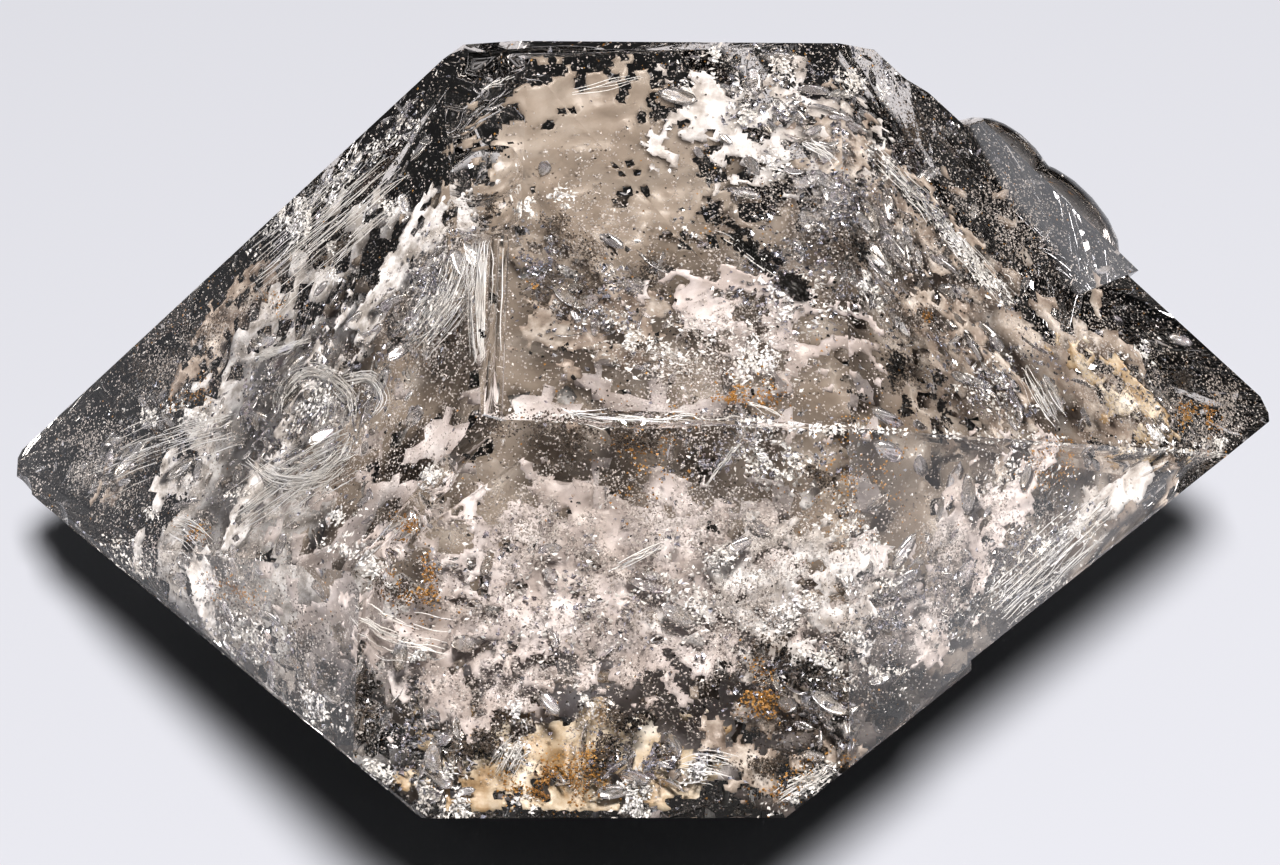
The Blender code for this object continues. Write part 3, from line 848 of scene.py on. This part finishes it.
fibres = {
    "thick": (0.012, 0.034),  # mm
    "steps": 6,
    "wander": 5,  # pixels
    "waves": 1.5,  # along one fibre
    "share": (0.4, 1.2),  # of the length
    "sink": (-0.4, 0.4),  # mm, from one end to the other
    "jump": 1.2,  # mm: a fibre ends where its next point is past another edge
    "tip": 0.25,  # of the thickness
    "rows": (
        # path, spread px, count, length px, depth mm
        (((279, 419), (284, 393), (304, 373), (330, 378), (350, 398), (350, 424)), 9, 55, 45, (0.4, 1.2)),
        (((337, 383), (368, 378), (381, 398), (370, 419)), 8, 35, 35, (0.4, 1.2)),
        (((243, 459), (279, 480), (317, 477), (342, 457), (355, 434)), 9, 50, 45, (0.4, 1.2)),
        (((253, 362), (280, 350), (312, 337)), 6, 32, 45, (0.4, 1.0)),
        (((355, 439), (300, 470), (227, 520)), 26, 80, 60, (0.4, 1.6)),
        (((464, 245), (450, 290), (430, 320), (405, 345)), 26, 100, 60, (0.4, 1.6)),
        (((250, 290), (330, 220), (400, 160)), 38, 80, 90, (0.4, 2.0)),
        (((80, 480), (160, 445), (240, 420)), 22, 45, 60, (0.4, 1.4)),
        (((170, 520), (190, 530), (212, 548)), 12, 18, 30, (0.3, 0.8)),
        (((486, 240), (484, 300), (482, 365)), 14, 60, 80, (0.3, 1.0)),
        (((870, 150), (930, 210), (980, 270), (1010, 300)), 10, 90, 45, (0.3, 1.2)),
        (((804, 140), (822, 151), (839, 162)), 5, 16, 28, (0.3, 0.8)),
        (((690, 222), (730, 240), (770, 272), (812, 300)), 2, 6, 60, (0.1, 0.3)),
        (((1024, 365), (1040, 395), (1059, 425)), 14, 22, 50, (0.3, 1.0)),
        (((992, 614), (1050, 560), (1116, 499)), 22, 90, 60, (0.3, 1.4)),
        (((779, 802), (805, 786), (831, 768)), 11, 40, 40, (0.3, 0.9)),
        (((607, 571), (635, 558), (664, 543)), 3, 6, 50, (0.3, 0.8)),
        (((746, 434), (725, 460), (699, 492)), 3, 9, 40, (0.3, 0.8)),
        (((559, 408), (597, 418), (679, 418), (750, 418)), 3, 16, 60, (0.25, 0.6)),
        (((572, 93), (605, 85), (643, 75)), 3, 5, 50, (0.4, 0.9)),
        (((480, 92), (498, 84), (514, 74)), 3, 8, 30, (0.3, 0.6)),
        (((745, 403), (765, 410), (784, 418)), 2, 5, 30, (0.3, 0.6)),
        (((357, 620), (400, 640), (450, 650)), 20, 26, 40, (0.4, 1.4)),
        (((660, 770), (700, 765), (740, 772)), 22, 26, 30, (0.4, 1.4)),
        (((520, 740), (510, 755), (500, 775)), 14, 22, 28, (0.4, 1.2)),
    ),
}


def fibreTree(material):
    tree = bpy.data.node_groups.new("fibres_along_curves", "GeometryNodeTree")
    tree.interface.new_socket("Geometry", in_out="INPUT", socket_type="NodeSocketGeometry")
    tree.interface.new_socket("Thickness", in_out="INPUT", socket_type="NodeSocketFloat").default_value = 1.0
    tree.interface.new_socket("Geometry", in_out="OUTPUT", socket_type="NodeSocketGeometry")
    source = addNode(tree, "NodeGroupInput")
    curves = addNode(tree, "GeometryNodeMeshToCurve", links={"Mesh": source.outputs["Geometry"]})
    thick = addNode(tree, "GeometryNodeInputNamedAttribute", {"data_type": "FLOAT"}, {"Name": "thick"})
    scaled = addNode(tree, "ShaderNodeMath", {"operation": "MULTIPLY"})
    tree.links.new(thick.outputs["Attribute"], scaled.inputs[0])
    tree.links.new(source.outputs["Thickness"], scaled.inputs[1])
    outline = addNode(tree, "GeometryNodeCurvePrimitiveCircle", {"mode": "RADIUS"},
                      {"Resolution": 3, "Radius": 1.0})
    body = addNode(tree, "GeometryNodeCurveToMesh", values={"Fill Caps": True}, links={
        "Curve": curves.outputs["Curve"], "Profile Curve": outline.outputs["Curve"],
        "Scale": scaled.outputs["Value"]})
    real = addNode(tree, "GeometryNodeRealizeInstances", links={"Geometry": body.outputs["Mesh"]})
    coat = addNode(tree, "GeometryNodeSetMaterial", values={"Material": material},
                   links={"Geometry": real.outputs["Geometry"]})
    addNode(tree, "NodeGroupOutput", links={"Geometry": coat.outputs["Geometry"]})
    return tree


def fibreLines():
    steps, lines = fibres["steps"], []
    for path, spread, count, length, depth in fibres["rows"]:
        whole = sum((Vector(a) - Vector(b)).length for a, b in zip(path, path[1:]))
        for k in range(count):
            share = length / whole * rng.uniform(*fibres["share"])
            first, side = rng.uniform(0, max(0.02, 1 - share)), rng.normal(0, scatter["spread"]) * spread
            deep, sink, seed = rng.uniform(*depth), rng.uniform(*fibres["sink"]), rng.uniform(0, 99)
            thick = rng.uniform(*fibres["thick"]) * mm
            line = []
            for step in range(steps + 1):
                t = step / steps
                spot, heading = alongPath(path, min(1.0, first + share * t))
                off = side + fibres["wander"] * noise.noise(Vector((t * fibres["waves"], seed, 0)))
                place, inward = under(spot.x - heading.y * off, spot.y + heading.x * off, deep + sink * t)
                if place is None or not inside(place, scatter["margin"]):
                    break
                if line and (place - line[-1][0]).length > fibres["jump"] * mm:
                    break
                swell = math.sin(math.pi * (0.1 + 0.8 * t))
                line.append((place, thick * (fibres["tip"] + (1 - fibres["tip"]) * swell)))
            if len(line) > 2:
                lines.append(line)
    return lines


def makeFibres():
    lines, places, edges = fibreLines(), [], []
    for line in lines:
        edges += [(len(places) + k, len(places) + k + 1) for k in range(len(line) - 1)]
        places += line
    wires = bpy.data.meshes.new("silky_fibres")
    wires.from_pydata([p[0] for p in places], edges, [])
    store = wires.attributes.new("thick", "FLOAT", "POINT")
    store.data.foreach_set("value", [p[1] for p in places])
    faces = finished("silky_fibres", wires, fibreTree(bpy.data.materials["healed_crack"]), "Thickness")
    print("silky_fibres", len(lines), "fibres", faces, "faces")


# rusty iron films and smoky places: golden to dark brown grains

stains = {
    "size": (0.03, 0.07), "long": 1.0, "thin": 1.0, "fan": 180, "lean": 90,
    "wisp": 24, "ragged": -0.05,
}
golden = dict(stains, patches=(
    (550, 783, 55, 650, (0.4, 1.6), 0, 0.5), (591, 761, 18, 160, (0.4, 1.2)),
    (760, 694, 30, 500, (0.4, 1.4), 70, 0.7), (1047, 463, 26, 260, (0.4, 1.6)),
    (1198, 418, 28, 260, (0.4, 1.4), 60, 0.7), (732, 394, 18, 150, (0.4, 1.2)),
    (768, 395, 20, 90, (0.4, 1.2)), (809, 533, 6, 30), (927, 316, 7, 40), (535, 287, 5, 20),
    (272, 304, 14, 70), (190, 395, 22, 90), (169, 401, 10, 40), (417, 585, 34, 260, (0.4, 1.6)),
    (409, 523, 14, 70), (230, 590, 40, 160, (0.4, 1.6), 20, 0.4), (640, 460, 60, 150, (0.4, 1.6)),
    (870, 480, 60, 160, (0.4, 2.0)), (192, 530, 20, 130, (0.3, 1.0), 30, 0.6),
    (800, 780, 60, 240, (0.4, 1.6), -30, 0.3)),
    all=((1500, 5.0, 0.1, 0.3, 11.0),))
smoky = dict(stains, patches=(
    (565, 288, 40, 900, (0.8, 2.5), 0, 0.8), (562, 232, 32, 420, (1.0, 3.0), 0, 0.8),
    (592, 252, 14, 110, (0.8, 2.0)), (657, 275, 22, 240, (0.6, 2.0), 60, 0.8),
    (475, 740, 34, 700, (0.4, 1.6), -30, 0.6), (629, 720, 24, 420, (0.4, 1.6)),
    (604, 755, 22, 420, (0.4, 1.6), 80, 0.7), (768, 764, 40, 420, (0.4, 1.6), 0, 0.4),
    (400, 590, 40, 420, (0.5, 2.0)), (634, 436, 50, 520, (0.4, 1.6), 5, 0.3),
    (560, 440, 50, 320, (0.4, 1.6), 10, 0.5), (502, 422, 14, 90),
    (818, 475, 26, 220, (0.4, 1.6), 45, 0.3), (1182, 376, 24, 240, (0.4, 1.4), 50, 0.4),
    (486, 202, 24, 300, (0.3, 1.0), 0, 0.5), (342, 244, 14, 110, (0.3, 1.0), -30, 0.5),
    (323, 262, 12, 90), (190, 340, 90, 500, (0.4, 2.0), -37, 0.2), (140, 365, 22, 200),
    (152, 452, 20, 180), (110, 500, 40, 220), (772, 650, 30, 260, (0.4, 1.4), 10, 0.5),
    (815, 675, 30, 300, (0.4, 1.4), 25, 0.6), (900, 370, 40, 500, (0.5, 2.0), 80, 0.6),
    (850, 250, 34, 320, (0.5, 2.0), 60, 0.6), (930, 330, 60, 320, (0.6, 2.5), 50, 0.6),
    (955, 610, 34, 240, (0.4, 1.6), -50, 0.5), (893, 708, 30, 260, (0.4, 1.6), 40, 0.6),
    (800, 720, 60, 420, (0.5, 2.0)), (300, 640, 80, 420, (0.5, 2.5), 40, 0.5),
    (200, 600, 60, 300, (0.5, 2.0), 35, 0.4), (365, 700, 24, 200),
    (912, 130, 34, 260, (0.5, 2.0), 45, 0.5), (1198, 462, 20, 120, (0.3, 1.0), 10, 0.5),
    (1145, 452, 30, 120, (0.3, 1.0), 0, 0.3)),
    all=((4000, 4.0, 0.1, 0.3, 17.0),))


def makeStains():
    # rusty ochre, and dark smoky brown
    iron = mottled("iron_stain", {"Roughness": 0.5}, 1.2,
                   ((0.35, "7a5224"), (0.5, "a9783a"), (0.65, "c99a58")))
    shade = mottled("smoky_shade", {"Roughness": 0.4}, 1.2,
                    ((0.35, "2e2823"), (0.5, "4a4038"), (0.65, "695c50")))
    setOnPoints("iron_stain", bodiesOf(golden), grain, iron)
    setOnPoints("smoky_shade", bodiesOf(smoky), grain, shade)


makeCamera()
makeStudio()
print("camera and studio")
crystal = makeCrystal()
skin = surfaceTree(crystal)
print("crystal", len(crystal.data.polygons), "faces")
grain = grainMesh("grain_shape")
plate = plateMesh("plate_shape", 4, 0.12)
leaf = leafMesh("leaf_shape")
makeDust()
makeVeils()
makeHealed()
makeFibres()
makeMirrors()
makeLeaves()
makeBitumenAndGashShade()
makeStains()
for shape in (grain, plate, leaf):
    bpy.data.objects.remove(shape)
